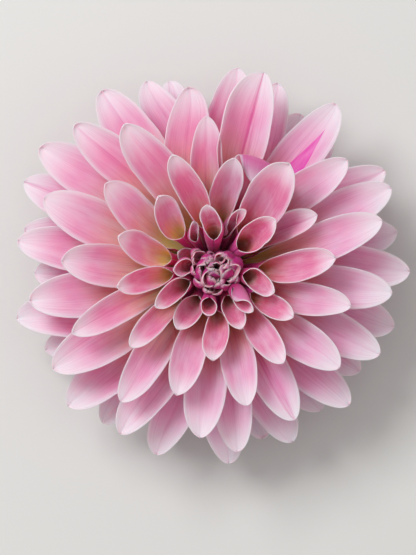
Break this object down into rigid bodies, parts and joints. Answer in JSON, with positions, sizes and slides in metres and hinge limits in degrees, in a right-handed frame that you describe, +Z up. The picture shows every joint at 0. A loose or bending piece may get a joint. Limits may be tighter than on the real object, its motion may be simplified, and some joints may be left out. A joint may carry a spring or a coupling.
{
  "type": "dahlia flower",
  "caption": "Double decorative dahlia flower head in blush pink, cut short and lying on its back, face up; a loose bloom for arrangements and still lifes.",
  "frame": {"origin": "on the surface the flower lies on, under the centre of its box; the cut end of the stem is on that surface close to the origin", "axes": "+Z up out of the flower's face, +Y towards the top of the picture, +X to its right"},
  "size_m": [0.1252, 0.1266, 0.0518],
  "materials": {
    "receptacle": "fleshy green stem and receptacle, satin",
    "calyx": "thin yellow-green inner bracts, satin",
    "bract_0": "leafy green outer bract, satin",
    "bract_1": "leafy green outer bract, satin",
    "bract_2": "leafy green outer bract, satin",
    "bract_3": "leafy green outer bract, satin",
    "bract_4": "leafy green outer bract, satin",
    "heart": "magenta young florets with pale rims",
    "petal_00": "soft satin petal, pink with a paler rim",
    "petal_01": "soft satin petal, pink with a paler rim",
    "petal_02": "soft satin petal, pink with a paler rim",
    "petal_03": "soft satin petal, pink with a paler rim",
    "petal_04": "soft satin petal, pink with a paler rim",
    "petal_05": "soft satin petal, pink with a paler rim",
    "petal_06": "soft satin petal, pink with a paler rim",
    "petal_07": "soft satin petal, pink with a paler rim",
    "petal_08": "soft satin petal, pink with a paler rim",
    "petal_09": "soft satin petal, pink with a paler rim",
    "petal_10": "soft satin petal, pink with a paler rim",
    "petal_11": "soft satin petal, pink with a paler rim",
    "petal_12": "soft satin petal, pink with a paler rim",
    "petal_13": "soft satin petal, pink with a paler rim",
    "petal_14": "soft satin petal, pink with a paler rim",
    "petal_15": "soft satin petal, pink with a paler rim",
    "petal_16": "soft satin petal, pink with a paler rim",
    "petal_17": "soft satin petal, pink with a paler rim",
    "petal_18": "soft satin petal, pink with a paler rim",
    "petal_19": "soft satin petal, pink with a paler rim",
    "petal_20": "soft satin petal, pink with a paler rim",
    "petal_21": "soft satin petal, pink with a paler rim",
    "petal_22": "soft satin petal, pink with a paler rim",
    "petal_23": "soft satin petal, pink with a paler rim",
    "petal_24": "soft satin petal, pink with a paler rim",
    "petal_25": "soft satin petal, pink with a paler rim",
    "petal_26": "soft satin petal, pink with a paler rim",
    "petal_27": "soft satin petal, pink with a paler rim",
    "petal_28": "soft satin petal, pink with a paler rim",
    "petal_29": "soft satin petal, pink with a paler rim",
    "petal_30": "soft satin petal, pink with a paler rim",
    "petal_31": "soft satin petal, pink with a paler rim",
    "petal_32": "soft satin petal, pink with a paler rim",
    "petal_33": "soft satin petal, pink with a paler rim",
    "petal_34": "soft satin petal, pink with a paler rim",
    "petal_35": "soft satin petal, pink with a paler rim",
    "petal_36": "soft satin petal, pink with a paler rim",
    "petal_37": "soft satin petal, pink with a paler rim",
    "petal_38": "soft satin petal, pink with a paler rim",
    "petal_39": "soft satin petal, pink with a paler rim",
    "petal_40": "soft satin petal, pink with a paler rim",
    "petal_41": "soft satin petal, pink with a paler rim",
    "petal_42": "soft satin petal, pink with a paler rim",
    "petal_43": "soft satin petal, pink with a paler rim",
    "petal_44": "soft satin petal, pink with a paler rim",
    "petal_45": "soft satin petal, pink with a paler rim",
    "petal_52": "soft satin petal, pink with a paler rim",
    "petal_53": "soft satin petal, pink with a paler rim",
    "petal_55": "soft satin petal, pink with a paler rim",
    "petal_60": "soft satin petal, pink with a paler rim",
    "petal_62": "soft satin petal, pink with a paler rim",
    "petal_72": "soft satin petal, pink with a paler rim"
  },
  "bodies": {
    "root": {"receptacle": "receptacle", "calyx": "calyx", "bract_0": "bract_0", "bract_1": "bract_1", "bract_2": "bract_2", "bract_3": "bract_3", "bract_4": "bract_4", "heart": "heart", "petal_00": "petal_00", "petal_01": "petal_01", "petal_02": "petal_02", "petal_03": "petal_03", "petal_04": "petal_04", "petal_05": "petal_05", "petal_06": "petal_06", "petal_07": "petal_07", "petal_08": "petal_08", "petal_09": "petal_09", "petal_10": "petal_10", "petal_11": "petal_11", "petal_12": "petal_12", "petal_13": "petal_13", "petal_14": "petal_14", "petal_15": "petal_15", "petal_16": "petal_16", "petal_17": "petal_17", "petal_18": "petal_18", "petal_19": "petal_19", "petal_20": "petal_20", "petal_21": "petal_21", "petal_22": "petal_22", "petal_23": "petal_23", "petal_24": "petal_24", "petal_25": "petal_25", "petal_26": "petal_26", "petal_27": "petal_27", "petal_28": "petal_28", "petal_29": "petal_29", "petal_30": "petal_30", "petal_31": "petal_31", "petal_32": "petal_32", "petal_33": "petal_33", "petal_34": "petal_34", "petal_35": "petal_35", "petal_36": "petal_36", "petal_37": "petal_37", "petal_38": "petal_38", "petal_39": "petal_39", "petal_40": "petal_40", "petal_41": "petal_41", "petal_42": "petal_42", "petal_43": "petal_43", "petal_44": "petal_44", "petal_45": "petal_45", "petal_52": "petal_52", "petal_53": "petal_53", "petal_55": "petal_55", "petal_60": "petal_60", "petal_62": "petal_62", "petal_72": "petal_72"}
  },
  "joints": []
}
